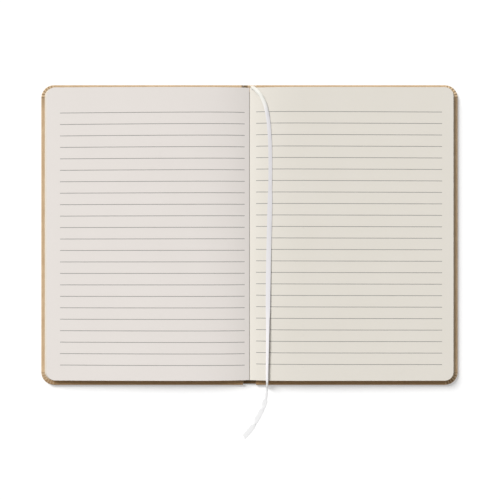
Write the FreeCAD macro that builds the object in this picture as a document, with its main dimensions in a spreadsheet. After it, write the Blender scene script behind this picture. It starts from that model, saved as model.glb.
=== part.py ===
import FreeCAD, Part
import math
import os

import Sketcher
from FreeCAD import Rotation, Vector

# A case-bound ruled notebook of A5 size in kraft paper, lying open at its middle with a ribbon marker.
# X runs along the open spread, from the left page to the right one, Y up the pages and Z upwards.
# The origin is on the table, under the fold between the two pages, half-way up the covers.
# Lengths are millimetres.

doc = FreeCAD.newDocument("open_notebook")
sheet = doc.addObject("Spreadsheet::Sheet", "Sizes")

SIZES = {
    "cover_reach": (145.9, "from the fold between the pages to a cover's fore-edge"),
    "cover_height": (210.0, "of the covers, head to tail"),
    "cover_corner": (9.0, "radius of a cover's two outer corners"),
    "board": (2.0, "thickness of the grey board in a cover"),
    "board_gap": (9.8, "between the two boards, over the spine"),
    "kraft": (0.2, "thickness of the kraft paper that wraps the covers and the spine"),
    "turn_in": (15.0, "width of kraft paper folded round a board and glued down inside"),
    "pleat_rise": (0.15, "height of a pleat in the kraft paper turned in round a corner"),
    "pleat_width": (1.3, "of a pleat at the cover's edge"),
    "pleat_clear": (0.3, "between a pleat and the endpaper, and from a pleat to the cover's edge"),
    "joint_gap": (0.25, "between the kraft paper of a cover and of the spine"),
    "joint_lap": (0.3, "kraft paper that stands out past a board's spine edge"),
    "strip": (0.8, "thickness of the card strip in the spine"),
    "strip_width": (8.2, "of the card strip"),
    "spine_recess": (0.7, "how much shorter the spine is than the covers, at each end"),
    "fore_square": (2.7, "cover that shows past the pages at the fore-edge"),
    "head_square": (2.3, "cover that shows past the pages at the head"),
    "tail_square": (3.7, "cover that shows past the pages at the tail"),
    "page_corner": (6.0, "radius of a page's two outer corners"),
    "endpaper": (0.15, "thickness of an endpaper"),
    "endpaper_slit": (0.1, "between the two leaves of an endpaper"),
    "half_stack": (3.85, "thickness of half of the 80 sheets"),
    "fold_gap": (0.3, "between the two halves of the pages, at their fold"),
    "fold_rise": (1.0, "of the fold between the pages above the endpapers"),
    "back_spread": (3.7, "how far the lowest sheet's fold lies from the middle one's"),
    "left_crown": (60.0, "from the middle to the highest line of the left page"),
    "right_crown": (50.0, "from the middle to the highest line of the right page"),
    "left_drop": (1.6, "how much lower the left page is at its fore-edge than at its crown"),
    "right_drop": (0.6, "how much lower the right page is at its fore-edge"),
    "left_slide": (1.9, "how far the top sheet on the left has slid back from the lowest one"),
    "right_slide": (1.5, "how far the top sheet on the right has slid back"),
    "ribbon_width": (3.3, "of the ribbon marker"),
    "ribbon": (0.2, "thickness of the ribbon marker"),
}
for row, (alias, (size, meaning)) in enumerate(SIZES.items(), start=1):
    sheet.set(f"A{row}", alias)
    sheet.set(f"B{row}", str(size))
    sheet.set(f"C{row}", meaning)
    sheet.setAlias(f"B{row}", alias)
doc.recompute()

# Sizes that follow from the driving ones.
COVER_HALF = "Sizes.cover_height / 2"
COVER_TOP = "Sizes.kraft + Sizes.board"
BOARD_NEAR = "Sizes.board_gap / 2"
KRAFT_NEAR = "Sizes.board_gap / 2 - Sizes.joint_lap"
SPINE_HALF = "Sizes.cover_height / 2 - Sizes.spine_recess"
PAGE_REACH = "Sizes.cover_reach - Sizes.fore_square"
PAGE_HALF = "(Sizes.cover_height - Sizes.head_square - Sizes.tail_square) / 2"
PAGE_SHIFT = "(Sizes.tail_square - Sizes.head_square) / 2"
PAGE_NEAR = "Sizes.fold_gap / 2 + Sizes.back_spread"
FLYLEAF_FOOT = "Sizes.kraft + Sizes.board + Sizes.endpaper + Sizes.endpaper_slit"

# The cutters of a pocket run this far past the edge that they open.
PAST = 2.0


def number(text):
    """The plain value of an expression over the sheet's cells."""
    value = sheet.evalExpression(text)
    return float(getattr(value, "Value", value))


def lock(sketch, geometry, point, axis, text):
    """Ties one coordinate of a sketch point to an expression, on either side of the origin."""
    place = number(text)
    ends = (-1, 1, geometry, point) if place >= 0 else (geometry, point, -1, 1)
    index = sketch.addConstraint(Sketcher.Constraint("Distance" + axis, *ends, abs(place)))
    sketch.setExpression(f"Constraints[{index}]", text if place >= 0 else f"-({text})")


def new_sketch(body, name, role, height="0"):
    """A sketch on one of the body's origin planes, or at a height above it."""
    plane = next(f for f in body.Origin.OriginFeatures if f.Role == role)
    sketch = body.newObject("Sketcher::SketchObject", name)
    sketch.AttachmentSupport = (plane, "")
    sketch.MapMode = "FlatFace"
    sketch.setExpression("AttachmentOffset.Base.z", height)
    return sketch


def polygon(sketch, corners):
    """A closed outline of straight edges, with each corner's two coordinates given as expressions."""
    places = [Vector(number(x), number(y), 0) for x, y in corners]
    count = len(corners)
    for i in range(count):
        sketch.addGeometry(Part.LineSegment(places[i], places[(i + 1) % count]))
    for i in range(count):
        sketch.addConstraint(Sketcher.Constraint("Coincident", i, 2, (i + 1) % count, 1))
    for i, (x, y) in enumerate(corners):
        lock(sketch, i, 1, "X", x)
        lock(sketch, i, 1, "Y", y)


def leaf(sketch, near, reach, half, corner):
    """The outline of a board or leaf: square at the spine, with round corners at the fore-edge."""
    inner_x, inner_y = f"{reach} - ({corner})", f"{half} - ({corner})"
    sides = [
        ((inner_x, half), (near, half)),
        ((near, f"-({half})"), (inner_x, f"-({half})")),
        ((reach, f"-({inner_y})"), (reach, inner_y)),
    ]
    for line, ends in enumerate(sides):
        places = [Vector(number(x), number(y), 0) for x, y in ends]
        sketch.addGeometry(Part.LineSegment(*places))
        for point, (x, y) in enumerate(ends, start=1):
            lock(sketch, line, point, "X", x)
            lock(sketch, line, point, "Y", y)
    spine_ends = [Vector(number(near), side * number(half), 0) for side in (1, -1)]
    spine_side = sketch.addGeometry(Part.LineSegment(*spine_ends))
    sketch.addConstraint(Sketcher.Constraint("Coincident", 0, 2, spine_side, 1))
    sketch.addConstraint(Sketcher.Constraint("Coincident", spine_side, 2, 1, 1))
    radius = number(corner)
    for side, turn, first, last in ((-1, -90, (1, 2), (2, 1)), (1, 0, (2, 2), (0, 1))):
        middle = Vector(number(inner_x), side * number(inner_y), 0)
        circle = Part.Circle(middle, Vector(0, 0, 1), radius)
        arc = sketch.addGeometry(Part.ArcOfCircle(circle, math.radians(turn), math.radians(turn + 90)))
        sketch.addConstraint(Sketcher.Constraint("Coincident", arc, 1, *first))
        sketch.addConstraint(Sketcher.Constraint("Coincident", arc, 2, *last))
        index = sketch.addConstraint(Sketcher.Constraint("Radius", arc, radius))
        sketch.setExpression(f"Constraints[{index}]", corner)


def pad(body, sketch, length, middle=False):
    """Extrudes a sketch upwards, or to both sides of its plane."""
    feature = body.newObject("PartDesign::Pad", sketch.Name + "_pad")
    feature.Profile = sketch
    feature.setExpression("Length", length)
    feature.Midplane = middle
    sketch.Visibility = False
    return feature


def pocket(body, sketch, depth, upwards=False):
    """Cuts a sketch into the body, downwards unless told otherwise, and checks that it took something."""
    doc.recompute()
    before = body.Shape.Volume
    feature = body.newObject("PartDesign::Pocket", sketch.Name + "_pocket")
    feature.Profile = sketch
    feature.setExpression("Length", depth)
    feature.Reversed = upwards
    sketch.Visibility = False
    doc.recompute()
    if body.Shape.Volume >= before:
        raise ValueError(f"{feature.Name} cuts nothing")
    return feature


def new_body(label, turned=False):
    """A body named as its piece is. The left half's pieces are the right half's, turned about Z."""
    body = doc.addObject("PartDesign::Body", label)
    body.Label = label
    if turned:
        body.Placement = FreeCAD.Placement(Vector(0, 0, 0), Rotation(Vector(0, 0, 1), 180))
    return body


def cover_board(label, turned):
    """The grey board of a cover. Its rim is pressed in where the kraft paper is turned in over it."""
    body = new_body(label, turned)
    outline = new_sketch(body, label + "_outline", "XY_Plane", "Sizes.kraft")
    leaf(
        outline,
        BOARD_NEAR,
        "Sizes.cover_reach - Sizes.kraft",
        f"{COVER_HALF} - Sizes.kraft",
        "Sizes.cover_corner - Sizes.kraft",
    )
    pad(body, outline, "Sizes.board")

    rim = new_sketch(body, label + "_rim", "XY_Plane", COVER_TOP)
    past_x, past_y = f"Sizes.cover_reach + {PAST}", f"{COVER_HALF} + {PAST}"
    inner_x, inner_y = "Sizes.cover_reach - Sizes.turn_in", f"{COVER_HALF} - Sizes.turn_in"
    near = f"{BOARD_NEAR} - {PAST}"
    corners = [(near, past_y), (near, inner_y), (inner_x, inner_y)]
    polygon(rim, [*corners, *mirrored(corners), (past_x, f"-({past_y})"), (past_x, past_y)])
    pocket(body, rim, "Sizes.kraft")
    return body


def mirrored(corners):
    """The same corners below the X axis, in the order that goes on round the outline."""
    return [(x, f"-({y})") for x, y in reversed(corners)]


def cover_paper(label, turned):
    """The kraft paper of a cover: under the board, round its three outer edges and turned in over it."""
    body = new_body(label, turned)
    outline = new_sketch(body, label + "_outline", "XY_Plane")
    leaf(outline, KRAFT_NEAR, "Sizes.cover_reach", COVER_HALF, "Sizes.cover_corner")
    pad(body, outline, COVER_TOP)

    window = new_sketch(body, label + "_window", "XY_Plane", COVER_TOP)
    near = f"{KRAFT_NEAR} - {PAST}"
    inner_x, inner_y = "Sizes.cover_reach - Sizes.turn_in", f"{COVER_HALF} - Sizes.turn_in"
    corners = [(near, inner_y), (inner_x, inner_y)]
    polygon(window, [*corners, *mirrored(corners)])
    pocket(body, window, "Sizes.board")

    inside = new_sketch(body, label + "_inside", "XY_Plane", "Sizes.kraft")
    leaf(
        inside,
        near,
        "Sizes.cover_reach - Sizes.kraft",
        f"{COVER_HALF} - Sizes.kraft",
        "Sizes.cover_corner - Sizes.kraft",
    )
    pocket(body, inside, "Sizes.board - Sizes.kraft", upwards=True)
    for side, first in ((1, PLEAT_MARGIN), (-1, PLEAT_MARGIN - 90)):
        pleats(body, f"{label}_pleat_{'head' if side > 0 else 'tail'}", side, first)
    return body


# Pleats at a cover's corner, and the angle from the straight edge to the first one's middle.
PLEATS = 6
PLEAT_MARGIN = 8


def pleats(body, name, side, first):
    """Folds that the turned-in paper is gathered into, set out round the centre of a corner's arc."""
    pleat = new_sketch(body, name, "XY_Plane", COVER_TOP)
    centre = Vector(0, 0, number(COVER_TOP))
    pleat.AttachmentOffset = FreeCAD.Placement(centre, Rotation(Vector(0, 0, 1), first))
    pleat.setExpression("AttachmentOffset.Base.x", "Sizes.cover_reach - Sizes.cover_corner")
    pleat.setExpression("AttachmentOffset.Base.y", f"{side} * ({COVER_HALF} - Sizes.cover_corner)")
    outer = "Sizes.cover_corner - Sizes.pleat_clear"
    inner = "Sizes.cover_corner - min(Sizes.head_square, Sizes.tail_square) + Sizes.pleat_clear"
    corners = [(inner, "Sizes.pleat_width / 4"), (outer, "Sizes.pleat_width / 2")]
    polygon(pleat, [*corners, *mirrored(corners)])
    raised = pad(body, pleat, "Sizes.pleat_rise")
    row = body.newObject("PartDesign::PolarPattern", name + "_row")
    row.Originals = [raised]
    row.Axis = (pleat, ["N_Axis"])
    row.Angle = 90 - 2 * PLEAT_MARGIN
    row.Occurrences = PLEATS
    body.Tip = row


def endpaper(label, turned):
    """A folded sheet: one leaf is pasted to the board, the other is the flyleaf under the pages."""
    body = new_body(label, turned)
    body.setExpression("Placement.Base.y", PAGE_SHIFT)
    size = (PAGE_REACH, PAGE_HALF, "Sizes.page_corner")
    pastedown = new_sketch(body, label + "_pastedown", "XY_Plane", COVER_TOP)
    leaf(pastedown, PAGE_NEAR, *size)
    pad(body, pastedown, "Sizes.endpaper")

    fold = new_sketch(body, label + "_fold", "XY_Plane", f"{COVER_TOP} + Sizes.endpaper")
    corners = [(PAGE_NEAR, PAGE_HALF), (f"{PAGE_NEAR} + Sizes.endpaper", PAGE_HALF)]
    polygon(fold, [*corners, *mirrored(corners)])
    pad(body, fold, "Sizes.endpaper_slit")

    flyleaf = new_sketch(body, label + "_flyleaf", "XY_Plane", FLYLEAF_FOOT)
    leaf(flyleaf, PAGE_NEAR, *size)
    pad(body, flyleaf, "Sizes.endpaper")
    return body


# How sharply a page turns down into the fold, and how evenly it sinks to the fore-edge.
FOLD_STEEPNESS = 4
FORE_BEND = 1.6
# Where the curve of a page's top is set out, as shares of the way to the crown and on to the fore-edge.
FOLD_STEPS = (0.0, 0.03, 0.07, 0.12, 0.18, 0.26, 0.36, 0.5, 0.72)
FORE_STEPS = (0.0, 0.2, 0.5, 0.8, 1.0)


def page_top(x, crown, fore, drop):
    """A page's height over the lowest sheet: steep at the fold, highest at its crown, then sinking."""
    high, fold = number("Sizes.half_stack"), number("Sizes.fold_rise")
    if x < crown:
        return high - (high - fold) * (1 - x / crown) ** FOLD_STEEPNESS
    return high - drop * ((x - crown) / (fore - crown)) ** FORE_BEND


def page_stack(label, turned, side):
    """Half of the text block. Its sheets fan from the flattened back and slide over each other."""
    crown, drop, slide = (number(f"Sizes.{side}_{name}") for name in ("crown", "drop", "slide"))
    foot = number(f"{FLYLEAF_FOOT} + Sizes.endpaper")
    rise = number("Sizes.half_stack")
    reach, half, corner = number(PAGE_REACH), number(PAGE_HALF), number("Sizes.page_corner")
    start, near = number("Sizes.fold_gap / 2"), number(PAGE_NEAR)
    over = reach + PAST

    # The curve across the page, which the whole top surface follows.
    places = [start + (crown - start) * step for step in FOLD_STEPS]
    places += [crown + (over - crown) * step for step in FORE_STEPS]
    heights = [page_top(max(x - start, 0), crown, over, drop) for x in places]
    points = [Vector(x, 0, foot + height) for x, height in zip(places, heights)]
    curve = Part.BSplineCurve()
    curve.interpolate(Points=points)
    below = [Vector(over, 0, foot - PAST), Vector(near, 0, foot - PAST), Vector(near, 0, foot)]
    outline = Part.Wire([curve.toShape(), *Part.makePolygon([points[-1], *below, points[0]]).Edges])
    under_top = Part.Face(outline)
    under_top.translate(Vector(0, half + PAST, 0))
    under_top = under_top.extrude(Vector(0, -2 * (half + PAST), 0))

    # One sheet's outline, leaned back towards the spine as it rises through the stack.
    lift = rise + PAST
    lean = Vector(-slide * lift / rise, 0, lift)
    sheet_outline = rounded_leaf(-reach, reach, half, corner, foot)
    shape = sheet_outline.extrude(lean).common(under_top)
    piece = doc.addObject("Part::Feature", label)
    piece.Label = label
    piece.Shape = shape.Solids[0]
    turn = Rotation(Vector(0, 0, 1), 180 if turned else 0)
    piece.Placement = FreeCAD.Placement(Vector(0, number(PAGE_SHIFT), 0), turn)
    return piece


def rounded_leaf(near, far, half, corner, height):
    """A flat face with round corners at its fore-edge."""
    bend = corner * (1 - math.sqrt(0.5))
    head_arc = Part.Arc(
        Vector(far - corner, half, height),
        Vector(far - bend, half - bend, height),
        Vector(far, half - corner, height),
    )
    tail_arc = Part.Arc(
        Vector(far, corner - half, height),
        Vector(far - bend, bend - half, height),
        Vector(far - corner, -half, height),
    )
    spine_side = [
        Vector(far - corner, -half, height),
        Vector(near, -half, height),
        Vector(near, half, height),
        Vector(far - corner, half, height),
    ]
    fore_edge = Part.makeLine(Vector(far, half - corner, height), Vector(far, corner - half, height))
    edges = [head_arc.toShape(), fore_edge, tail_arc.toShape(), *Part.makePolygon(spine_side).Edges]
    return Part.Face(Part.Wire(Part.__sortEdges__(edges)))


def spine_strip(label):
    """The card strip that stiffens the spine between the two boards."""
    body = new_body(label)
    outline = new_sketch(body, label + "_outline", "XY_Plane", "Sizes.kraft")
    half_x, half_y = "Sizes.strip_width / 2", f"{SPINE_HALF} - Sizes.kraft"
    corners = [(half_x, half_y), (f"-({half_x})", half_y)]
    polygon(outline, [*corners, *mirrored(corners)])
    pad(body, outline, "Sizes.strip")
    return body


def spine_paper(label):
    """The kraft paper of the spine, folded over the strip at head and tail."""
    body = new_body(label)
    section = new_sketch(body, label + "_section", "YZ_Plane")
    under, over = "Sizes.kraft + Sizes.strip", "2 * Sizes.kraft + Sizes.strip"
    inner, folded = f"{SPINE_HALF} - Sizes.kraft", f"{SPINE_HALF} - Sizes.turn_in"
    side = [(inner, "Sizes.kraft"), (inner, under), (folded, under), (folded, over), (SPINE_HALF, over)]
    side.append((SPINE_HALF, "0 * Sizes.kraft"))
    far_side = [(f"-({y})", z) for y, z in reversed(side)]
    polygon(section, [*side, *far_side])
    pad(body, section, f"2 * ({KRAFT_NEAR} - Sizes.joint_gap)", middle=True)
    return body


# The ribbon's middle line: up behind the head of the pages, down the right page, over its tail and the
# cover's, and along the table. The points are millimetres from the origin.
RIBBON_ROUTE = [
    (2.2, 103.7, 2.9),
    (2.3, 104.3, 4.2),
    (2.8, 103.4, 5.5),
    (4.4, 100.9, 5.5),
    (7.2, 96.4, 5.45),
    (10.3, 89.0, 5.62),
    (12.8, 76.0, 5.9),
    (14.6, 54.0, 6.02),
    (13.7, 22.0, 5.96),
    (12.2, -22.0, 5.84),
    (11.8, -62.0, 5.8),
    (12.2, -85.0, 5.84),
    (12.1, -96.5, 5.84),
    (12.0, -104.2, 5.84),
    (11.9, -108.2, 4.0),
    (11.7, -111.6, 1.5),
    (11.2, -115.6, 0.15),
    (9.6, -120.2, 0.12),
    (6.6, -124.2, 0.12),
    (4.6, -128.8, 0.12),
    (1.4, -133.4, 0.12),
    (-2.2, -137.6, 0.12),
    (-4.4, -142.2, 0.12),
]
ARC_SHARE = 0.45


def bent_wire(points):
    """Straight runs through the points, joined by tangent arcs as large as the shorter run allows."""
    edges = []
    radii = []
    here = points[0]
    for before, corner, after in zip(points, points[1:], points[2:]):
        back, on = (before - corner).normalize(), (after - corner).normalize()
        turn = math.pi - back.getAngle(on)
        if turn < 1e-4:
            continue
        trim = ARC_SHARE * min((before - corner).Length, (after - corner).Length)
        radius = trim / math.tan(turn / 2)
        radii.append(radius)
        inwards = (back + on).normalize()
        depth = radius / math.cos(turn / 2) - radius
        start, end = corner + back * trim, corner + on * trim
        edges.append(Part.makeLine(here, start))
        edges.append(Part.Arc(start, corner + inwards * depth, end).toShape())
        here = end
    edges.append(Part.makeLine(here, points[-1]))
    return Part.Wire(edges), radii


def band(wire, width):
    """A flat strip of one width along a flat wire."""
    side = wire.makeOffset2D(-width / 2, 0, False, True)
    return side.makeOffset2D(width, 0, True, True)


def ribbon_marker(label):
    """The ribbon: where the strip of its plan view meets the thinner strip of its side view."""
    width, thick = number("Sizes.ribbon_width"), number("Sizes.ribbon")
    plan_wire, plan_radii = bent_wire([Vector(x, y, 0) for x, y, z in RIBBON_ROUTE])
    side_wire, side_radii = bent_wire([Vector(0, y, z) for x, y, z in RIBBON_ROUTE])
    high = max(z for x, y, z in RIBBON_ROUTE) + PAST
    wide = max(abs(x) for x, y, z in RIBBON_ROUTE) + width
    plan = band(plan_wire, width)
    plan.translate(Vector(0, 0, -PAST))
    side = band(side_wire, thick)
    side.translate(Vector(-wide, 0, 0))
    shape = plan.extrude(Vector(0, 0, high + PAST)).common(side.extrude(Vector(2 * wide, 0, 0)))
    length = bent_wire([Vector(*point) for point in RIBBON_ROUTE])[0].Length
    print(f"ribbon: {length:.1f} mm long, {shape.Volume:.1f} mm3 of {length * width * thick:.1f}")
    print("ribbon: radii in plan", [round(radius, 1) for radius in plan_radii])
    print("ribbon: radii from the side", [round(radius, 1) for radius in side_radii])
    piece = doc.addObject("Part::Feature", label)
    piece.Label = label
    piece.Shape = shape.Solids[0]
    return piece


pieces = [
    cover_board("back_board", False),
    cover_paper("back_cover_paper", False),
    endpaper("back_endpaper", False),
    page_stack("right_page_stack", False, "right"),
    cover_board("front_board", True),
    cover_paper("front_cover_paper", True),
    endpaper("front_endpaper", True),
    page_stack("left_page_stack", True, "left"),
    spine_strip("spine_strip"),
    spine_paper("spine_paper"),
    ribbon_marker("ribbon_marker"),
]
doc.recompute()

for thing in doc.Objects:
    if "Invalid" in thing.State or "Error" in thing.State:
        raise ValueError(f"{thing.Name} failed to build")
for piece in pieces:
    if piece.Shape.isNull() or not piece.Shape.isValid() or len(piece.Shape.Solids) != 1:
        raise ValueError(f"{piece.Label} isn't one sound solid")

os.makedirs("parts", exist_ok=True)
for piece in pieces:
    piece.Shape.exportStep(f"parts/{piece.Label}.step")
    print(piece.Label, round(piece.Shape.Volume, 1), "mm3")
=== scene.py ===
import math
import random

import bmesh
import bpy
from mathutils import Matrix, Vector


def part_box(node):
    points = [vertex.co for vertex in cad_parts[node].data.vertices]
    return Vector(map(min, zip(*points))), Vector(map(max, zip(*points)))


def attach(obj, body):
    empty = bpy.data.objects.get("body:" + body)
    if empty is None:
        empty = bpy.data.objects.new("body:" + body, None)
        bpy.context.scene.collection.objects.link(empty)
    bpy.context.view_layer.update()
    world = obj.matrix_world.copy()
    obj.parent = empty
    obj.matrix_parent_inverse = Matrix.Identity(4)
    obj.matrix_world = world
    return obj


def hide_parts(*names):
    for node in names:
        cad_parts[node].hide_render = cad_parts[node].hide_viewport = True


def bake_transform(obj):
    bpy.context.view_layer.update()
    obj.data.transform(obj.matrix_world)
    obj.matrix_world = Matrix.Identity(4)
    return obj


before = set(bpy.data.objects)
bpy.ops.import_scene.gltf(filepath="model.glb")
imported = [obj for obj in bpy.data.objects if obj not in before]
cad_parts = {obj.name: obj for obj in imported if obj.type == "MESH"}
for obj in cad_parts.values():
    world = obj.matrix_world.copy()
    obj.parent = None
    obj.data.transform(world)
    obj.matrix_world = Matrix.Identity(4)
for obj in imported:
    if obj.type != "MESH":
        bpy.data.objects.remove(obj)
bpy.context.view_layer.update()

# Lengths are metres, X along the open spread, Y up the pages, Z up from the table.


# Grey boards
# Two boards of grey waste-paper pulp, die-cut with round outer corners, that stiffen the covers.
# They are wrapped in kraft paper and show only at their spine edges.


class Signal:
    """A number that varies over a surface. Sums and products of it add their Math nodes."""

    def __init__(self, finish, socket):
        self.finish, self.socket = finish, socket

    def __add__(self, other):
        return self.finish.maths("ADD", self, other)

    __radd__ = __add__

    def __mul__(self, other):
        return self.finish.maths("MULTIPLY", self, other)

    __rmul__ = __mul__


class Shading:
    """The node tree of a material or of the world."""

    def __init__(self, tree):
        self.tree = tree

    def node(self, kind, settings, inputs, output=0):
        """Adds a node: its settings first, then the values or links of its sockets."""
        made = self.tree.nodes.new(kind)
        for name, value in settings.items():
            setattr(made, name, value)
        for name, value in inputs.items():
            if isinstance(value, Signal):
                self.tree.links.new(value.socket, made.inputs[name])
            else:
                made.inputs[name].default_value = value
        return Signal(self, made.outputs[output])

    def maths(self, operation, *values):
        return self.node("ShaderNodeMath", {"operation": operation}, dict(enumerate(values)))

    def seen(self):
        """1 where a surface is looked at, also in a reflection, and 0 where light is gathered."""
        rays = ("Is Camera Ray", "Is Glossy Ray", "Is Transmission Ray")
        camera, glossy, clear = (self.node("ShaderNodeLightPath", {}, {}, ray) for ray in rays)
        return camera + glossy + clear


class Finish(Shading):
    """A procedural material on one Principled shader."""

    def __init__(self, name, constants):
        self.material = bpy.data.materials.new(name)
        self.material.use_nodes = True
        super().__init__(self.material.node_tree)
        self.shader = self.tree.nodes["Principled BSDF"]
        for socket, value in constants.items():
            self.shader.inputs[socket].default_value = value
        self.place = self.node("ShaderNodeTexCoord", {}, {}, "Object")

    def along(self, axis):
        """The place along one axis, in metres."""
        return self.node("ShaderNodeSeparateXYZ", {}, {"Vector": self.place}, axis)

    def noise(self, scale, detail=2.0, stretch=(1, 1, 1)):
        """Cloudy variation from 0 to 1, of scale cells a metre, times stretch along each axis."""
        spread = self.node("ShaderNodeMapping", {}, {"Vector": self.place, "Scale": stretch})
        inputs = {"Vector": spread, "Scale": scale, "Detail": detail}
        return self.node("ShaderNodeTexNoise", {}, inputs)

    def between(self, value, low, high):
        """The value's share of the way from low to high, kept between 0 and 1."""
        inputs = {"Value": value, "From Min": low, "From Max": high}
        return self.node("ShaderNodeMapRange", {}, inputs)

    def mix(self, share, first, second):
        """The first colour turning into the second."""
        inputs = {0: share, 6: first, 7: second}
        return self.node("ShaderNodeMix", {"data_type": "RGBA"}, inputs, output=2)

    def wear(self, socket, signal):
        """Lets the signal set one of the shader's sockets."""
        self.tree.links.new(signal.socket, self.shader.inputs[socket])

    def relief(self, height, depth):
        """Raises the surface by height times depth."""
        inputs = {"Height": height, "Distance": depth, "Strength": 1.0}
        self.wear("Normal", self.node("ShaderNodeBump", {}, inputs))


def paint(red, green, blue):
    """A colour as it looks on a screen, from 0 to 255, turned into the shader's linear light."""
    return (*(((c / 255 + 0.055) / 1.055) ** 2.4 for c in (red, green, blue)), 1)


def dress(piece, finish):
    """Gives a piece this one material."""
    piece.data.materials.clear()
    piece.data.materials.append(finish.material)


def grey_board():
    finish = Finish("grey_board", {"Roughness": 0.92, "Specular IOR Level": 0.2})
    clouds = finish.noise(260, 4)
    fibres = finish.between(finish.noise(900, 3, (1, 3, 6)), 0.55, 0.72)
    pulp = finish.mix(clouds, paint(142, 138, 131), paint(172, 167, 158))
    finish.wear("Base Color", finish.mix(fibres * 0.6, pulp, paint(104, 98, 92)))
    finish.relief(fibres + clouds, 0.00006)
    return finish


board_finish = grey_board()
for node in ("back_board", "front_board"):
    dress(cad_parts[node], board_finish)


# Kraft paper of the covers
# One sheet of brown kraft paper a cover, glued under the board, folded up round its three outer
# edges and turned in by 15 mm. Round the corners it is gathered into small pleats.

COVER_NEAR, COVER_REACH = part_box("back_cover_paper")[0].x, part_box("back_cover_paper")[1].x
COVER_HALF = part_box("back_cover_paper")[1].y
COVER_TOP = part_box("back_board")[1].z
COVER_CORNER = 0.009
KRAFT = 0.0002
TURN_IN = 0.015
EDGE_BEND = 0.00055
PLEAT_RISE = 0.0003
PLEATS = 6
PLEAT_CREST = 0.8
PLEAT_PINCH = 0.4
PLEAT_END = 0.0026
STATIONS_A_PLEAT, EDGE_STATIONS, FORE_STATIONS = 9, 24, 20
# Places between which painted light and shade set in on the paper: past the start of a corner's
# curve and up its side, for the pleats; at the covers' tail edge, for shade under the pages; and
# in the gutter between the covers.
CORNER_START, CORNER_SIDE = (-0.0002, 0.0004), (0.0004, 0.0016)
TAIL_SHADE = (-0.1006, -0.1016)
GUTTER, GUTTER_SIDE, GUTTER_ENDS = (0.0044, 0.0036), (0.0003, 0.0009), (0.0992, 0.1004)
GUTTER_TURN = (-0.05, 0.05)
GUTTER_ASIDE, GUTTER_NARROWER = 0.0034, 0.0019


def pleat_height(share, rises):
    """Each pleat rises slowly from the one that it laps over and ends in a sharp crease."""
    pleat = min(int(share * PLEATS), PLEATS - 1)
    part = share * PLEATS - pleat
    if part < PLEAT_CREST:
        return rises[pleat] * math.sin(math.pi / 2 * part / PLEAT_CREST)
    return rises[pleat] * (1 - part) / (1 - PLEAT_CREST)


def cover_stations(draw):
    """Places round a cover from the spine along head, fore-edge and tail, back to the spine.

    Each is an anchor (its X, and its Y as a share of the cover's straight half), the direction
    from there to the edge, and the height of the pleat."""
    flat = COVER_REACH - COVER_CORNER
    length = flat - COVER_NEAR
    straight = [COVER_NEAR + length * i / EDGE_STATIONS for i in range(EDGE_STATIONS)]
    stations = [((x, 1), math.pi / 2, 0.0) for x in straight]
    for side in (1, -1):
        rises = [draw.uniform(0.6, 1) for _ in range(PLEATS)]
        steps = PLEATS * STATIONS_A_PLEAT
        turn = [i / steps for i in range(steps + 1)]
        arc = [((flat, side), side * math.pi / 2 * (1 - a), pleat_height(a, rises)) for a in turn]
        if side > 0:
            stations += arc
            fore_edge = [1 - 2 * i / FORE_STATIONS for i in range(1, FORE_STATIONS)]
            stations += [((flat, y), 0.0, 0.0) for y in fore_edge]
        else:
            stations += list(reversed(arc))
    stations += [((x, -1), -math.pi / 2, 0.0) for x in reversed(straight)]
    return stations


def cover_ring(stations, inset, height, pleating):
    """The cover's outline moved in by inset, at one height, with a share of the pleats' rise."""
    ring = []
    inner = COVER_HALF - COVER_CORNER
    radius, past = max(COVER_CORNER - inset, 0), max(inset - COVER_CORNER, 0)
    for (x, side), angle, pleat in stations:
        rise = pleating * PLEAT_RISE * pleat
        reach = radius - PLEAT_PINCH * rise * (height < COVER_TOP)
        along_x = min(x, COVER_REACH - COVER_CORNER - past) + reach * math.cos(angle)
        along_y = side * (inner - past) + reach * math.sin(angle)
        ring.append(Vector((along_x, along_y, height + rise)))
    return ring


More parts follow.
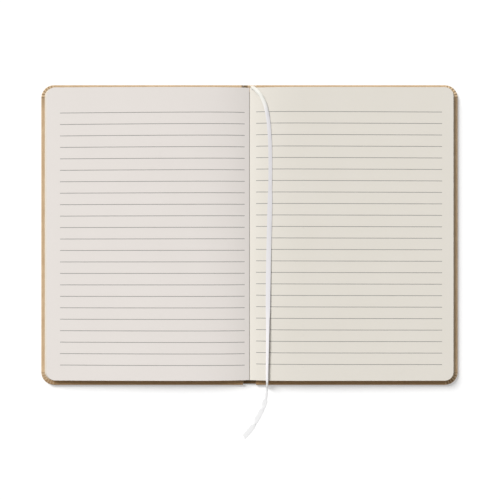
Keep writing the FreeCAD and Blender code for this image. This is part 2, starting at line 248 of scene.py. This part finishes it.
def cover_wrap(name, draw, mirrored):
    """The paper from under the board round its edge to the turn-in, and back on the inner side."""
    stations = cover_stations(draw)
    rounding = 1 - math.sqrt(0.5)
    top, bend, nip = COVER_TOP, EDGE_BEND, EDGE_BEND * rounding
    # How far in from the cover's edge, how high, and the share of the pleats' rise.
    outside = [
        (TURN_IN, 0, 0),
        (2 * bend, 0, 0),
        (bend, 0, 0),
        (nip, nip, 0),
        (0, bend, 0),
        (0, top / 2, 0.3),
        (0, top - bend, 0.7),
        (nip, top - nip, 0.9),
        (bend, top, 1),
        (2 * bend, top, 1),
        (0.0021, top, 0.9),
        (PLEAT_END, top, 0.35),
        (0.007, top, 0.1),
        (TURN_IN, top, 0),
    ]
    tuck = KRAFT + (bend - KRAFT) * rounding
    inside = [
        (TURN_IN, top - KRAFT, 0),
        (PLEAT_END, top - KRAFT, 0),
        (bend, top - KRAFT, 0),
        (KRAFT, top - bend, 0),
        (KRAFT, bend, 0),
        (tuck, tuck, 0),
        (bend, KRAFT, 0),
        (TURN_IN, KRAFT, 0),
    ]
    form = bmesh.new()
    rings = [cover_ring(stations, *place) for place in outside + inside]
    rows = [[form.verts.new(point) for point in ring] for ring in rings]
    for row, over in zip(rows, rows[1:]):
        for i in range(len(stations) - 1):
            form.faces.new((row[i], row[i + 1], over[i + 1], over[i]))
    # The flat of the paper under the board, outside and inside, and its edge along the joint.
    form.faces.new(list(reversed(rows[0])))
    form.faces.new(rows[-1])
    form.faces.new((rows[0][0], rows[0][-1], rows[-1][-1], rows[-1][0]))
    # The cut ends beside the spine: each place outside and the place inside that lies behind it.
    behind = [0, 2, 2, 3, 3, 4, 4, 4, 5, 5, 5, 6, 6, 7]
    for end in (0, -1):
        outer = [row[end] for row in rows[: len(outside)]]
        inner = [row[end] for row in reversed(rows[len(outside) :])]
        for i in range(len(outside) - 1):
            corners = [outer[i], outer[i + 1], inner[behind[i + 1]], inner[behind[i]]]
            form.faces.new(list(dict.fromkeys(corners)))
    return finished(name, form, mirrored)


def finished(name, form, mirrored=False, crease=35):
    """Makes a piece of a form: welded, mirrored for the left half, with its faces outwards.

    Edges that turn by more than crease, in degrees, stay sharp."""
    weld = 1e-7
    bmesh.ops.remove_doubles(form, verts=form.verts, dist=weld)
    bmesh.ops.dissolve_degenerate(form, edges=form.edges, dist=weld)
    if mirrored:
        for vertex in form.verts:
            vertex.co.x = -vertex.co.x
    bmesh.ops.recalc_face_normals(form, faces=form.faces)
    mesh = bpy.data.meshes.new(name)
    form.to_mesh(mesh)
    form.free()
    mesh.shade_smooth()
    mesh.set_sharp_from_angle(angle=math.radians(crease))
    piece = bpy.data.objects.new(name, mesh)
    bpy.context.scene.collection.objects.link(piece)
    return piece


def painted_pleat_shading(finish, paper):
    """The pleats round a cover's corners: a painted highlight on each one's rise and painted shade
    in its crease.
    """
    past_x = finish.maths("ABSOLUTE", finish.along("X")) + (COVER_CORNER - COVER_REACH)
    past_y = finish.maths("ABSOLUTE", finish.along("Y")) + (COVER_CORNER - COVER_HALF)
    turned = finish.maths("ARCTAN2", past_x, past_y) * (2 / math.pi * PLEATS)
    pleat = finish.maths("FRACT", turned)
    rounded = finish.between(past_x, *CORNER_START) * finish.between(past_y, *CORNER_START)
    corner = rounded * finish.between(finish.along("Z"), *CORNER_SIDE)
    rise_highlight = finish.between(pleat, 0.55, 0.2) * 0.35
    crease_shaded = finish.between(pleat, 0.6, 0.95) * 0.75
    lit = finish.mix(corner * rise_highlight, paper, paint(226, 206, 176))
    return finish.mix(corner * crease_shaded, lit, paint(104, 78, 48))


def shaded_gutter(finish, paper):
    """Painted shade between the covers: as wide as the gap at the tail, narrow and aside at the
    head.
    """
    upper = finish.between(finish.along("Y"), *GUTTER_TURN)
    middle = finish.along("X") + GUTTER_ASIDE * upper
    aside = finish.maths("ABSOLUTE", middle) + GUTTER_NARROWER * upper
    ends = finish.between(finish.maths("ABSOLUTE", finish.along("Y")), *GUTTER_ENDS)
    gutter = finish.between(aside, *GUTTER) * ends
    inside = gutter * finish.between(finish.along("Z"), *GUTTER_SIDE)
    return finish.mix(inside * 0.8, paper, paint(92, 72, 44))


def kraft_paper():
    finish = Finish("kraft_paper", {"Roughness": 0.86, "Specular IOR Level": 0.25})
    clouds = finish.noise(90, 5)
    fibres = finish.noise(1100, 3, (1, 0.22, 1))
    specks = finish.between(finish.noise(1700, 2), 0.68, 0.76)
    pulp = finish.mix(finish.between(clouds, 0.3, 0.7), paint(190, 163, 129), paint(200, 175, 142))
    strands = finish.mix(finish.between(fibres, 0.35, 0.75) * 0.55, pulp, paint(178, 149, 114))
    specked = finish.mix(specks * 0.5, strands, paint(140, 106, 76))
    # Painted shade on the covers' tail band, where the pages' shadow falls.
    tail_shade = finish.between(finish.along("Y"), *TAIL_SHADE) * (0.55 + 0.25 * clouds)
    tail_shaded = finish.mix(tail_shade, specked, paint(146, 108, 66))
    crease_shaded = painted_pleat_shading(finish, tail_shaded)
    finish.wear("Base Color", shaded_gutter(finish, crease_shaded))
    finish.wear("Roughness", 0.8 + 0.12 * clouds)
    finish.relief(fibres + 0.5 * clouds, 0.00004)
    return finish


kraft_finish = kraft_paper()
pleat_draw = random.Random(11)
for half, mirrored in (("back", False), ("front", True)):
    wrap = cover_wrap(f"{half}_kraft_cover", pleat_draw, mirrored)
    dress(wrap, kraft_finish)
    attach(wrap, f"{half}_half")
    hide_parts(f"{half}_cover_paper")


# Spine
# A strip of card under the fold, covered by the same kraft paper, which is folded over it at head
# and tail. The paper is pressed up into a narrow joint between the spine and each board.

SPINE_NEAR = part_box("spine_paper")[1].x
SPINE_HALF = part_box("spine_paper")[1].y
JOINT_NEAR, JOINT_FAR = SPINE_NEAR + 0.00003, COVER_NEAR - 0.00002
JOINT_FOOT, JOINT_RISE = 0.00008, 0.0017
JOINT_LEAF, JOINT_WAIST = 0.00003, 0.6
JOINT_STEPS = 30
HEAD_FOLD = 0.0009
FOLD_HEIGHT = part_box("spine_paper")[1].z / 2
FOLD_LAP = 0.00005
FOLD_STATIONS = 12


def joint_fold(name, mirrored):
    """The kraft paper's fold in a joint, from the cover's edge up and down to the spine's."""
    middle, quarter = (JOINT_NEAR + JOINT_FAR) / 2, (JOINT_FAR - JOINT_NEAR) / 4
    course = [
        (JOINT_FAR, JOINT_FOOT),
        (JOINT_FAR - 0.2 * quarter, JOINT_RISE * 0.5),
        (JOINT_FAR - 0.5 * quarter, JOINT_RISE * 0.9),
        (middle, JOINT_RISE),
        (JOINT_NEAR + 0.5 * quarter, JOINT_RISE * 0.9),
        (JOINT_NEAR + 0.2 * quarter, JOINT_RISE * 0.5),
        (JOINT_NEAR, JOINT_FOOT),
    ]
    form = bmesh.new()
    sheets = []
    # The paper's outer face, and its inner one, which is lower and narrower.
    for lower, width in ((0, 1), (JOINT_LEAF, JOINT_WAIST)):
        places = [(middle + (x - middle) * width, z - lower) for x, z in course]
        rows = []
        for i in range(JOINT_STEPS + 1):
            y = SPINE_HALF * (1 - 2 * i / JOINT_STEPS)
            rows.append([form.verts.new((x, y, z)) for x, z in places])
        sheets.append(rows)
    outer, inner = sheets
    for rows in sheets:
        for row, after in zip(rows, rows[1:]):
            for i in range(len(course) - 1):
                form.faces.new((row[i], row[i + 1], after[i + 1], after[i]))
    for end in (0, -1):
        for i in range(len(course) - 1):
            form.faces.new((outer[end][i], outer[end][i + 1], inner[end][i + 1], inner[end][i]))
        for i in range(JOINT_STEPS):
            form.faces.new((outer[i][end], outer[i + 1][end], inner[i + 1][end], inner[i][end]))
    return finished(name, form, mirrored)


def spine_head_fold():
    """The kraft paper springs back a little where it is folded over the strip at the head."""
    form = bmesh.new()
    rows = []
    for x in (-SPINE_NEAR, SPINE_NEAR):
        turn = [math.pi * i / FOLD_STATIONS for i in range(FOLD_STATIONS + 1)]
        places = [(HEAD_FOLD * math.sin(a), FOLD_HEIGHT * (1 - math.cos(a))) for a in turn]
        rows.append([form.verts.new((x, SPINE_HALF - FOLD_LAP + y, z)) for y, z in places])
    left, right = rows
    for i in range(FOLD_STATIONS):
        form.faces.new((left[i], left[i + 1], right[i + 1], right[i]))
    form.faces.new((left[0], left[-1], right[-1], right[0]))
    for row in rows:
        form.faces.new(row)
    return finished("spine_head_fold", form)


def spine_card():
    finish = Finish("spine_card", {"Roughness": 0.9, "Specular IOR Level": 0.2})
    clouds = finish.noise(320, 4)
    finish.wear("Base Color", finish.mix(clouds, paint(176, 165, 148), paint(196, 186, 170)))
    finish.relief(clouds, 0.00005)
    return finish


dress(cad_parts["spine_strip"], spine_card())
dress(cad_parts["spine_paper"], kraft_finish)
# The fold's upper left part takes the kraft paper's painted gutter shade.
head_fold = spine_head_fold()
dress(head_fold, kraft_finish)
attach(head_fold, "spine")
for half, mirrored, side in (("back", False, 1), ("front", True, -1)):
    fold = joint_fold(f"{half}_joint_fold", mirrored)
    dress(fold, kraft_finish)
    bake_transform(fold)


# Endpapers
# A folded sheet of stouter off-white paper in each cover. One leaf is pasted down over the board
# and the turned-in kraft paper, and the other is the flyleaf under the pages.


def endpaper():
    finish = Finish("endpaper", {"Roughness": 0.85, "Specular IOR Level": 0.25})
    clouds = finish.noise(55, 4)
    grain = finish.noise(2400, 2)
    finish.wear("Base Color", finish.mix(clouds, paint(226, 220, 207), paint(232, 227, 216)))
    finish.relief(grain, 0.00001)
    return finish


endpaper_finish = endpaper()
for node in ("back_endpaper", "front_endpaper"):
    dress(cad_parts[node], endpaper_finish)


# Pages
# Eighty sheets of ivory writing paper, sewn and glued at the back and open at their middle. Each
# half fans out of the fold, rises to a crown and sinks to the fore-edge, where its sheets slide
# back over each other.

PAGE_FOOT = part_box("right_page_stack")[0].z
PAGE_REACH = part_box("right_page_stack")[1].x
PAGE_TAIL, PAGE_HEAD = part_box("right_page_stack")[0].y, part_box("right_page_stack")[1].y
PAGE_CORNER = 0.006
HALF_STACK = 0.00385
# The top sheet starts beside the fold, at this rise, and steeply. The lowest starts farther out.
FOLD_SIDE, FOLD_RISE, FOLD_STEEPNESS = 0.00015, 0.001, 4
BACK_SPREAD = 0.0037
# Past the crown the sheets bend down, by their whole drop a little beyond the fore-edge.
FORE_BEND, PAST_FORE_EDGE = 1.6, 0.002
RIPPLES, RIPPLE = 3, 0.00002
SHEETS = 40
SHEET_STRAY = 0.00009
# Columns crowd towards the fold by a power. Sheets stray at head and tail up to a corner's end.
FOLD_COLUMNS, PAGE_COLUMNS, CORNER_COLUMNS = 22, 26, 10
COLUMN_CROWDING = 1.8
CORNER_END = 2.9
PAGE_ROWS = 24
# Two places out from the fold, across the pages' back.
BACK_BEND, BACK_BEND_END = 0.0036, 0.0009


class PageHalf:
    """The form of one half of the pages, worked out for the right and mirrored for the left."""

    def __init__(self, crown, drop, slide, seed):
        self.crown, self.drop, self.slide = crown, drop, slide
        draw = random.Random(seed)
        self.waves = [
            (draw.uniform(0, 6.3), draw.uniform(30, 55), draw.uniform(15, 40))
            for _ in range(RIPPLES)
        ]
        self.stray = [draw.uniform(-1, 0) * SHEET_STRAY for _ in range(SHEETS)] + [0]
        self.lag = [draw.uniform(-1, 0) * SHEET_STRAY for _ in range(SHEETS)] + [0]

    def rise(self, x, y):
        """The top sheet's height above the lowest one."""
        over = max(x - FOLD_SIDE, 0)
        if over < self.crown:
            return HALF_STACK - (HALF_STACK - FOLD_RISE) * (1 - over / self.crown) ** FOLD_STEEPNESS
        share = (over - self.crown) / (PAGE_REACH + PAST_FORE_EDGE - self.crown)
        return HALF_STACK - self.drop * share**FORE_BEND + self.ripple(x, y) * min(share * 3, 1)

    def ripple(self, x, y):
        """Slow waves in the paper, never upwards and about a tenth of a millimetre at most."""
        return sum(math.sin(p + a * x + b * y) - 1 for p, a, b in self.waves) * RIPPLE

    def place(self, level, across, along):
        """The X and Y of a place on the sheet at a level from 0 to 1.

        Across runs from 0 at the fold by 1 at the crown and 2 at the round corner to 3 at the
        fore-edge, and along from 0 at the tail to 1 at the head."""
        near = FOLD_SIDE + BACK_SPREAD * (1 - level)
        far = PAGE_REACH - self.slide * level
        flat = far - PAGE_CORNER
        if across <= 1:
            x = near + (self.crown - near) * across**COLUMN_CROWDING
        elif across <= 2:
            x = self.crown + (flat - self.crown) * (across - 1)
        else:
            x = flat + PAGE_CORNER * math.sin((across - 2) * math.pi / 2)
        half = (PAGE_HEAD - PAGE_TAIL) / 2
        if across > 2:
            half -= PAGE_CORNER * (1 - math.cos((across - 2) * math.pi / 2))
        y = (PAGE_HEAD + PAGE_TAIL) / 2 + half * (2 * along - 1)
        return x, y

    def point(self, level, across, along):
        """The place in space: a sheet is as high as its level's share of the top sheet there."""
        x, y = self.place(level, across, along)
        over = x - BACK_SPREAD * (1 - level) * max(1 - across, 0)
        return Vector((x, y, PAGE_FOOT + level * self.rise(over, y)))


def columns():
    """Where a page's surface is divided, across it from the fold."""
    fold = [i / FOLD_COLUMNS for i in range(FOLD_COLUMNS)]
    page = [1 + i / PAGE_COLUMNS for i in range(PAGE_COLUMNS)]
    corner = [2 + i / CORNER_COLUMNS for i in range(CORNER_COLUMNS + 1)]
    return fold + page + corner


def page_stack(name, half, mirrored):
    """Half of the pages: the sheets' edges as rings round the sides, closed below and above."""
    form = bmesh.new()
    across = columns()
    along = [i / PAGE_ROWS for i in range(PAGE_ROWS + 1)]
    edge = [(a, 0.0) for a in across] + [(across[-1], v) for v in along[1:-1]]
    edge += [(a, 1.0) for a in reversed(across)] + [(across[0], v) for v in reversed(along[1:-1])]
    rings = []
    for i in range(SHEETS + 1):
        level = i / SHEETS
        ring = []
        for a, v in edge:
            astray = max(a - 1, 0) / 2 * half.stray[i]
            lagging = ((v == 1) - (v == 0)) * half.lag[i] * (a < CORNER_END)
            ring.append(form.verts.new(half.point(level, a, v) + Vector((astray, lagging, 0))))
        rings.append(ring)
    for ring, over in zip(rings, rings[1:]):
        for i in range(len(edge)):
            j = (i + 1) % len(edge)
            form.faces.new((ring[i], ring[j], over[j], over[i]))
    # The lowest and the top sheet, inside the edges that the rings have.
    for ring, level in ((rings[0], 0.0), (rings[-1], 1.0)):
        grid = dict(zip(edge, ring))
        for a in across[1:-1]:
            for v in along[1:-1]:
                grid[a, v] = form.verts.new(half.point(level, a, v))
        for a, b in zip(across, across[1:]):
            for v, w in zip(along, along[1:]):
                form.faces.new((grid[a, v], grid[b, v], grid[b, w], grid[a, w]))
    return finished(name, form, mirrored, crease=40)


def page_paper(name, shade, mottle):
    """Uncoated paper: hardly mottled on its face. Its sides show the sheets' edges as lines and are
    darker, partly for the rough cut and partly as painted shade between the sheets.
    """
    finish = Finish(name, {"Roughness": 0.88, "Specular IOR Level": 0.2})
    clouds = finish.noise(38, 3)
    layers = finish.noise(60, 2, (0.4, 0.4, 260))
    facing = finish.node("ShaderNodeNewGeometry", {}, {}, "Normal")
    lift = finish.node("ShaderNodeSeparateXYZ", {}, {"Vector": facing}, "Z")
    side = finish.between(lift, 0.93, 0.76)
    face = finish.mix(clouds, paint(*shade), paint(*mottle))
    lines = finish.between(layers, 0.42, 0.6)
    cut_edges_and_shade = finish.mix(lines, paint(196, 188, 172), paint(176, 167, 150))
    finish.wear("Base Color", finish.mix(side * 0.9, face, cut_edges_and_shade))
    finish.relief(finish.noise(2600, 2) + side * layers * 2, 0.000012)
    return finish


right_half = PageHalf(crown=0.050, drop=0.0006, slide=0.0015, seed=3)
left_half = PageHalf(crown=0.060, drop=0.0016, slide=0.0019, seed=8)
# Both halves are one paper: the left's lighter colour is painted light from the lamp at the upper
# left, and the right's darker one is painted shade.
shaded_right_paper = page_paper("right_pages", (223, 218, 209), (220, 215, 205))
lit_left_paper = page_paper("left_pages", (227, 221, 216), (224, 218, 213))
PAGES = (("right", right_half, shaded_right_paper, False), ("left", left_half, lit_left_paper, True))
for side, half, paper, mirrored in PAGES:
    stack = page_stack(f"{side}_pages", half, mirrored)
    dress(stack, paper)
    body, sign = ("front_half", -1) if mirrored else ("back_half", 1)
    start, end = (sign * BACK_BEND, 0, 0), (sign * BACK_BEND_END, 0, 0)
    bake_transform(stack)
    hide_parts(f"{side}_page_stack")


# Ruled lines
# Twenty-three fine grey lines printed on each open page, about 8 mm apart and a hair out of
# square, from the fold to a margin at the fore-edge. The ink lies on the paper's curve.

RULES = 23
RULE_WIDTH = 0.00041
INK_RISE = 0.00002
# The ends of a page's lines, the place of its first line, their spacing, and how much above square
# the print lies beside the fold and at the fore-edge, in the first line and in the last.
RIGHT_RULE = (0.0046, 0.1338, 0.08554, 0.007975, (0.00021, -0.00019), (0.00006, -0.0002))
LEFT_RULE = (0.0034, 0.1318, 0.08512, 0.007997, (0.00031, -0.00033), (0.00005, 0.00029))


def ruled_lines(name, half, rule, mirrored):
    """The lines of one page, each a bar that is sunk into the paper by half of its height."""
    start, end, top, spacing, first, last = rule
    form = bmesh.new()
    for i in range(RULES):
        along = (top - i * spacing - PAGE_TAIL) / (PAGE_HEAD - PAGE_TAIL)
        surface = [half.point(1, a, along) for a in columns() if a <= 2]
        line = [p for p in surface if start < p.x < end]
        line.insert(0, end_of_rule(surface, max(p.x for p in surface if p.x <= start), start))
        line.append(end_of_rule(surface, min(p.x for p in surface if p.x >= end), end))
        inner, outer = (a + (b - a) * i / (RULES - 1) for a, b in zip(first, last))
        rows = []
        for point in line:
            low, high = point.z - INK_RISE, point.z + INK_RISE
            y = point.y + inner + (outer - inner) * (point.x - start) / (end - start)
            y_low, y_high = y - RULE_WIDTH / 2, y + RULE_WIDTH / 2
            places = ((y_low, low), (y_high, low), (y_high, high), (y_low, high))
            rows.append([form.verts.new((point.x, y, z)) for y, z in places])
        for row, after in zip(rows, rows[1:]):
            for j in range(4):
                k = (j + 1) % 4
                form.faces.new((row[j], row[k], after[k], after[j]))
        form.faces.new(rows[0])
        form.faces.new(list(reversed(rows[-1])))
    return finished(name, form, mirrored)


def end_of_rule(surface, known, wanted):
    """The surface's point where X is wanted, which is between the point at known and the next."""
    index = next(i for i, p in enumerate(surface) if p.x == known)
    other = surface[index + 1] if wanted > known else surface[index - 1]
    return surface[index].lerp(other, (wanted - known) / (other.x - known))


def ruling_ink():
    finish = Finish("ruling_ink", {"Roughness": 0.7, "Specular IOR Level": 0.25})
    coverage = finish.noise(2200, 2)
    finish.wear("Base Color", finish.mix(coverage, paint(128, 127, 124), paint(150, 148, 144)))
    return finish


ink_finish = ruling_ink()
RULINGS = (
    ("right", right_half, RIGHT_RULE, "back_half", False),
    ("left", left_half, LEFT_RULE, "front_half", True),
)
for side, half, rule, body, mirrored in RULINGS:
    rules = ruled_lines(f"{side}_ruled_lines", half, rule, mirrored)
    dress(rules, ink_finish)
    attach(rules, body)


# Ribbon marker
# A limp white satin ribbon, glued behind the head of the pages. It comes over the head and down
# the right page, half folded lengthwise lower down, and hangs over the tail on to the table, where
# it opens out and is cut nearly square.

RIBBON_WIDTH = 0.0033
RIBBON_THICKNESS = 0.00014
RIBBON_ROUTE = [
    (0.0012, 0.1034, 0.0026),
    (0.0012, 0.1039, 0.0037),
    (0.0021, 0.1033, 0.0047),
    (0.0046, 0.1009, 0.0050),
    (0.0084, 0.0964, 0.00546),
    (0.0116, 0.0890, 0.00573),
    (0.0137, 0.0760, 0.00596),
    (0.0146, 0.0540, 0.00598),
    (0.0142, 0.0220, 0.00596),
    (0.0131, -0.0220, 0.00588),
    (0.0127, -0.0620, 0.00598),
    (0.0124, -0.0850, 0.00608),
    (0.0122, -0.0950, 0.00605),
    (0.0122, -0.1000, 0.00596),
    (0.0122, -0.1021, 0.00583),
    (0.0123, -0.1030, 0.0049),
    (0.0123, -0.1038, 0.0034),
    (0.0123, -0.1049, 0.0028),
    (0.0123, -0.1056, 0.0023),
    (0.0122, -0.1059, 0.0009),
    (0.0120, -0.1066, 0.0002),
    (0.0117, -0.1108, 0.00017),
    (0.0114, -0.1146, 0.00015),
    (0.0101, -0.1194, 0.00008),
    (0.0074, -0.1256, 0.00008),
    (0.0047, -0.1298, 0.00008),
    (0.0031, -0.1332, 0.00008),
    (0.0001, -0.1375, 0.00008),
    (-0.0041, -0.1419, 0.00008),
]
# Places up the page: how far the ribbon leans on its left edge and how far it curls, in degrees,
# and the share of its width that is left where it is folded lengthwise.
RIBBON_FORM = [
    (0.1045, 0, 10, 0.6),
    (0.1030, 4, 60, 0.75),
    (0.0980, 12, 90, 0.8),
    (0.0900, 8, 60, 0.8),
    (0.0800, 2, 20, 0.78),
    (0.0600, 0, 4, 0.78),
    (0.0340, 0, 4, 0.78),
    (0.0240, 1, 6, 1.0),
    (0.0030, 2, 10, 1.0),
    (-0.0300, 8, 10, 1.0),
    (-0.0500, 10, 15, 0.95),
    (-0.0620, 20, 30, 0.75),
    (-0.0730, 27, 40, 0.7),
    (-0.0880, 31, 50, 0.64),
    (-0.0990, 34, 50, 0.6),
    (-0.1025, 34, 40, 0.5),
    (-0.1060, 30, 30, 0.45),
    (-0.1076, 0, 20, 0.45),
    (-0.1145, 0, 12, 0.45),
    (-0.1168, 0, 3, 1.0),
    (-0.1196, 0, 3, 1.0),
    (-0.1216, 3, 20, 0.66),
    (-0.1236, 0, 3, 1.0),
    (-0.1292, 0, 3, 1.0),
    (-0.1325, 3, 20, 0.6),
    (-0.1348, 0, 3, 1.0),
    (-0.1430, 0, 2, 1.0),
]
CUT_SLANT, CUT_RINGS = 0.0009, 6
LEVELLING = 0.4
RIBBON_STATIONS = 8


def smooth_course(points):
    """Points along the smooth line that the ribbon follows."""
    curve = bpy.data.curves.new("ribbon_course", "CURVE")
    curve.dimensions = "3D"
    spline = curve.splines.new("NURBS")
    spline.points.add(len(points) - 1)
    for knot, place in zip(spline.points, points):
        knot.co = (*place, 1)
    spline.order_u = 3
    spline.use_endpoint_u = True
    spline.resolution_u = 12
    holder = bpy.data.objects.new("ribbon_course", curve)
    line = bpy.data.meshes.new_from_object(holder)
    course = [vertex.co.copy() for vertex in line.vertices]
    bpy.data.objects.remove(holder)
    bpy.data.curves.remove(curve)
    bpy.data.meshes.remove(line)
    return course


def form_at(y):
    """The ribbon's lean, curl and share of its width at a place up the page."""
    for (high, *first), (low, *second) in zip(RIBBON_FORM, RIBBON_FORM[1:]):
        if y >= low:
            part = min(max((high - y) / (high - low), 0), 1)
            eased = part * part * (3 - 2 * part)
            return [a + (b - a) * eased for a, b in zip(first, second)]
    return RIBBON_FORM[-1][1:]


def ribbon_section(lean, curl, width):
    """The ribbon's arched section: places across it, above its lowest edge, and the slope there."""
    bend = curl / width
    section = []
    for i in range(RIBBON_STATIONS + 1):
        slope = lean - bend * width * (i / RIBBON_STATIONS - 0.5)
        across = (math.sin(lean) - math.sin(slope)) / bend
        above = (math.cos(slope) - math.cos(lean)) / bend
        section.append((across, above, slope))
    middle = (max(u for u, v, a in section) + min(u for u, v, a in section)) / 2
    lowest = min(v for u, v, a in section)
    return [(u - middle, v - lowest, a) for u, v, a in section]


def ribbon_marker(course):
    """The ribbon's two faces along its course. Its side is carried along and kept near level."""
    form = bmesh.new()
    rings = []
    side = Vector((1, 0, 0))
    for i, centre in enumerate(course):
        tangent = (course[min(i + 1, len(course) - 1)] - course[max(i - 1, 0)]).normalized()
        level = tangent.cross(Vector((0, 0, 1)))
        level = level if level.x > 0 else -level
        carried = side - tangent * side.dot(tangent)
        side = (carried.normalized() + level * LEVELLING).normalized()
        face = tangent.cross(side)
        lean, curl, share = form_at(centre.y)
        section = ribbon_section(math.radians(lean), math.radians(curl), RIBBON_WIDTH * share)
        slant = max(1 - (len(course) - 1 - i) / CUT_RINGS, 0) * CUT_SLANT / RIBBON_WIDTH
        ring = []
        for face_up, stations in ((1, section), (-1, reversed(section))):
            out = face_up * RIBBON_THICKNESS / 2 / share
            for u, v, slope in stations:
                across, above = u - out * math.sin(slope), v + out * math.cos(slope)
                ring.append(centre + side * across + face * above + tangent * slant * u)
        rings.append([form.verts.new(p) for p in ring])
    around = len(rings[0])
    for ring, after in zip(rings, rings[1:]):
        for j in range(around):
            k = (j + 1) % around
            form.faces.new((ring[j], ring[k], after[k], after[j]))
    for ring in (rings[0], rings[-1]):
        for j in range(RIBBON_STATIONS):
            form.faces.new((ring[j], ring[j + 1], ring[around - 2 - j], ring[around - 1 - j]))
    return finished("satin_ribbon", form, crease=60)


def satin():
    finish = Finish("white_satin", {"Specular IOR Level": 0.3})
    threads = finish.noise(5200, 1, (1, 0.05, 1))
    clouds = finish.noise(300, 2)
    colour = finish.mix(clouds, paint(216, 214, 217), paint(220, 218, 220))
    # Places up the page between which the satin's colour changes: an even, slightly lighter tone
    # down the lower page, a painted highlight where it arches over the head, painted shade where it
    # goes in behind the head, and painted light past the tail, on the table.
    painted_light_and_shade = (
        (0.024, -0.01, paint(219, 217, 219)),
        (0.084, 0.094, paint(232, 231, 224)),
        (0.1025, 0.1036, paint(208, 199, 185)),
        (-0.1012, -0.1035, paint(238, 238, 238)),
    )
    for start, end, shade in painted_light_and_shade:
        colour = finish.mix(finish.between(finish.along("Y"), start, end), colour, shade)
    finish.wear("Base Color", colour)
    finish.wear("Roughness", 0.45 + 0.16 * threads)
    finish.relief(threads, 0.00002)
    return finish


ribbon_course = smooth_course(RIBBON_ROUTE)
ribbon = ribbon_marker(ribbon_course)
dress(ribbon, satin())
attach(ribbon, "back_half")
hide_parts("ribbon_marker")


# Table, light and camera
# The notebook lies on a plain white table under a broad lamp from the upper left, and is seen from
# straight above.

TABLE_SIDE = 3.0
TABLE_GLOW, GLOW_SHARE = 1.25, 0.2
LAMP_POWER = 3.77
LAMP_BREADTH = math.radians(26)
LAMP_HEIGHT, LAMP_BEARING = math.radians(34), math.radians(132)
ROOM_LIGHT = 0.36
CAMERA_PLACE = (0.00035, -0.0105, 0.5)
VIEW_HALF_WIDTH = 0.175

form = bmesh.new()
bmesh.ops.create_grid(form, x_segments=8, y_segments=8, size=TABLE_SIDE / 2)
table = finished("table_top", form)
white = Finish("white_table", {"Roughness": 0.9, "Specular IOR Level": 0.1})
white.wear("Base Color", white.mix(white.noise(3, 2), paint(252, 252, 252), paint(254, 254, 254)))
glow = white.node("ShaderNodeEmission", {}, {"Color": (1, 1, 1, 1), "Strength": TABLE_GLOW})
shaded = Signal(white, white.shader.outputs[0])
both = white.node("ShaderNodeMixShader", {}, {0: white.seen() * GLOW_SHARE, 1: shaded, 2: glow})
white.tree.links.new(both.socket, white.tree.nodes["Material Output"].inputs["Surface"])
dress(table, white)

sun = bpy.data.lights.new("soft_lamp", "SUN")
sun.energy = LAMP_POWER
sun.angle = LAMP_BREADTH
lamp = bpy.data.objects.new("soft_lamp", sun)
bearing = Vector((math.cos(LAMP_BEARING), math.sin(LAMP_BEARING), 0))
towards = bearing * math.cos(LAMP_HEIGHT) + Vector((0, 0, math.sin(LAMP_HEIGHT)))
lamp.rotation_euler = towards.to_track_quat("Z", "Y").to_euler()
bpy.context.scene.collection.objects.link(lamp)

world = bpy.data.worlds.new("white_room")
bpy.context.scene.world = world
world.use_nodes = True
sky = Shading(world.node_tree)
background = sky.tree.nodes["Background"]
background.inputs["Color"].default_value = (1, 1, 1, 1)
strength = ROOM_LIGHT + sky.seen() * (1 - ROOM_LIGHT)
sky.tree.links.new(strength.socket, background.inputs["Strength"])

optics = bpy.data.cameras.new("camera")
camera = bpy.data.objects.new("camera", optics)
camera.location = CAMERA_PLACE
optics.sensor_width = 36
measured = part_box("back_board")[1].z
optics.lens = optics.sensor_width / 2 * (CAMERA_PLACE[2] - measured) / VIEW_HALF_WIDTH
optics.clip_start, optics.clip_end = 0.01, 20
bpy.context.scene.collection.objects.link(camera)
bpy.context.scene.camera = camera
bpy.context.scene.view_settings.view_transform = "Standard"
